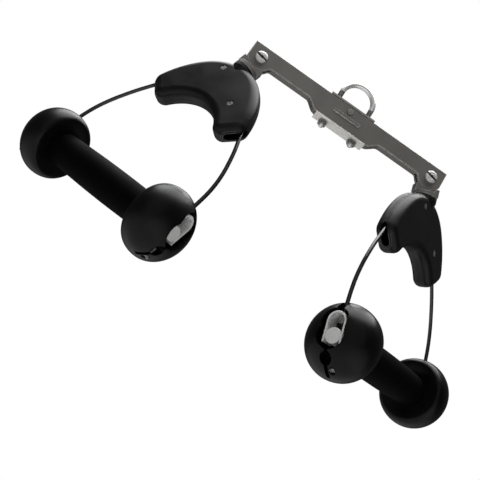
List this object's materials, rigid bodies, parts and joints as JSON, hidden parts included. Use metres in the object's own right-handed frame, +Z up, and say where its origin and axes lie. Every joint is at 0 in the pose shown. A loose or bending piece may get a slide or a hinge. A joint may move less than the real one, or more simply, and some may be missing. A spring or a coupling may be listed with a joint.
{
  "type": "twin-handle pulley attachment",
  "caption": "Bar with a screw eye and a swivelling housing at each end; a cable over guide rollers carries a rotating grip between end knobs.",
  "frame": {"origin": "inside top of the U-bolt eye, where a snap hook bears", "axes": "+X along the bar to the right, +Y to the back, +Z up; the front of the bar faces -Y"},
  "size_m": [0.4558, 0.1548, 0.2708],
  "materials": {
    "bar_paint": "satin",
    "zinc_steel": "zinc plated",
    "saddle_steel": "satin",
    "dark_steel": "dark plated",
    "plug_steel": "dark plated",
    "bolt_steel": "zinc plated",
    "block_paint": "satin",
    "bush_bronze": "plain bearing",
    "neck_black": "satin",
    "shell_black": "satin moulded",
    "screw_black": "black oxide",
    "axle_steel": "ground",
    "cable_coating": "coated wire rope",
    "ferrule_steel": "swaged",
    "shaft_steel": "turned",
    "stirrup_steel": "bright strip",
    "knob_black": "satin moulded",
    "tube_alu": "drawn tube",
    "bush_nylon": "moulded",
    "grip_rubber": "matte",
    "roller_nylon": "moulded"
  },
  "bodies": {
    "bar": {"bar": "bar_paint", "u_bolt": "zinc_steel", "saddle_plate": "saddle_steel", "clamp_plate": "zinc_steel", "u_bolt_nuts": "dark_steel", "centre_plug": "plug_steel", "pivot_bolts": "bolt_steel", "pivot_nuts": "bolt_steel"},
    "left_block": {"left_swivel_block": "block_paint", "left_pivot_bush": "bush_bronze", "left_swivel_pin": "bolt_steel", "left_thrust_washer": "bolt_steel"},
    "left_housing": {"left_neck_socket": "neck_black", "left_front_shell": "shell_black", "left_rear_shell": "shell_black", "left_housing_screws": "screw_black", "left_roller_axles": "axle_steel"},
    "left_handle": {"left_cable": "cable_coating", "left_ferrules": "ferrule_steel", "left_handle_shaft": "shaft_steel", "left_stirrup_a": "stirrup_steel", "left_stirrup_b": "stirrup_steel", "left_stirrup_pins": "bolt_steel", "left_knob_a": "knob_black", "left_knob_b": "knob_black", "left_knob_screws": "screw_black"},
    "left_grip": {"left_grip_tube": "tube_alu", "left_grip_bushes": "bush_nylon", "left_grip_sleeve": "grip_rubber"},
    "left_roller_1": {"left_roller_1": "roller_nylon"},
    "left_roller_2": {"left_roller_2": "roller_nylon"},
    "left_roller_3": {"left_roller_3": "roller_nylon"},
    "right_block": {"right_swivel_block": "block_paint", "right_pivot_bush": "bush_bronze", "right_swivel_pin": "bolt_steel", "right_thrust_washer": "bolt_steel"},
    "right_housing": {"right_neck_socket": "neck_black", "right_front_shell": "shell_black", "right_rear_shell": "shell_black", "right_housing_screws": "screw_black", "right_roller_axles": "axle_steel"},
    "right_handle": {"right_cable": "cable_coating", "right_ferrules": "ferrule_steel", "right_handle_shaft": "shaft_steel", "right_stirrup_a": "stirrup_steel", "right_stirrup_b": "stirrup_steel", "right_stirrup_pins": "bolt_steel", "right_knob_a": "knob_black", "right_knob_b": "knob_black", "right_knob_screws": "screw_black"},
    "right_grip": {"right_grip_tube": "tube_alu", "right_grip_bushes": "bush_nylon", "right_grip_sleeve": "grip_rubber"},
    "right_roller_1": {"right_roller_1": "roller_nylon"},
    "right_roller_2": {"right_roller_2": "roller_nylon"},
    "right_roller_3": {"right_roller_3": "roller_nylon"}
  },
  "joints": [
    {"name": "left_swing", "type": "hinge", "parent": "bar", "child": "left_block", "pos_m": [-0.096, 0, -0.0371], "axis": [0, 1, 0], "range_deg": [-24, 45]},
    {"name": "left_swivel", "type": "hinge", "parent": "left_block", "child": "left_housing", "pos_m": [-0.10255, 0, -0.06226], "axis": [0.2521, 0, 0.9677], "continuous": true},
    {"name": "left_tilt", "type": "hinge", "parent": "left_housing", "child": "left_handle", "pos_m": [-0.12146, 0, -0.13484], "axis": [0.5242, 0.8406, -0.1365], "range_deg": [-12, 12]},
    {"name": "left_roller_1_spin", "type": "hinge", "parent": "left_housing", "child": "left_roller_1", "pos_m": [-0.13478, 0.01517, -0.09262], "axis": [0.5242, 0.8406, -0.1365], "range_deg": [-70, 70]},
    {"name": "left_roller_2_spin", "type": "hinge", "parent": "left_housing", "child": "left_roller_2", "pos_m": [-0.10966, 0, -0.08955], "axis": [0.5242, 0.8406, -0.1365], "range_deg": [-70, 70]},
    {"name": "left_roller_3_spin", "type": "hinge", "parent": "left_housing", "child": "left_roller_3", "pos_m": [-0.08923, -0.01517, -0.10448], "axis": [0.5242, 0.8406, -0.1365], "range_deg": [-70, 70]},
    {"name": "left_grip_spin", "type": "hinge", "parent": "left_handle", "child": "left_grip", "pos_m": [-0.14309, 0, -0.21787], "axis": [0.8134, -0.5417, -0.2119], "continuous": true},
    {"name": "right_swing", "type": "hinge", "parent": "bar", "child": "right_block", "pos_m": [0.096, 0, -0.0371], "axis": [0, 1, 0], "range_deg": [-45, 24]},
    {"name": "right_swivel", "type": "hinge", "parent": "right_block", "child": "right_housing", "pos_m": [0.10255, 0, -0.06226], "axis": [-0.2521, 0, 0.9677], "continuous": true},
    {"name": "right_tilt", "type": "hinge", "parent": "right_housing", "child": "right_handle", "pos_m": [0.12146, 0, -0.13484], "axis": [-0.6323, 0.757, -0.1647], "range_deg": [-12, 12]},
    {"name": "right_roller_1_spin", "type": "hinge", "parent": "right_housing", "child": "right_roller_1", "pos_m": [0.0915, -0.0183, -0.10389], "axis": [-0.6323, 0.757, -0.1647], "range_deg": [-70, 70]},
    {"name": "right_roller_2_spin", "type": "hinge", "parent": "right_housing", "child": "right_roller_2", "pos_m": [0.10966, 0, -0.08955], "axis": [-0.6323, 0.757, -0.1647], "range_deg": [-70, 70]},
    {"name": "right_roller_3_spin", "type": "hinge", "parent": "right_housing", "child": "right_roller_3", "pos_m": [0.13252, 0.0183, -0.09321], "axis": [-0.6323, 0.757, -0.1647], "range_deg": [-70, 70]},
    {"name": "right_grip_spin", "type": "hinge", "parent": "right_handle", "child": "right_grip", "pos_m": [0.14309, 0, -0.21787], "axis": [0.7326, 0.6534, 0.1908], "continuous": true}
  ],
  "couplings": [
    {"joint": "left_roller_1_spin", "follows": "left_tilt", "ratio": 5.6404},
    {"joint": "left_roller_2_spin", "follows": "left_tilt", "ratio": 5.6404},
    {"joint": "left_roller_3_spin", "follows": "left_tilt", "ratio": 5.6404},
    {"joint": "right_roller_1_spin", "follows": "right_tilt", "ratio": 5.6404},
    {"joint": "right_roller_2_spin", "follows": "right_tilt", "ratio": 5.6404},
    {"joint": "right_roller_3_spin", "follows": "right_tilt", "ratio": 5.6404}
  ]
}
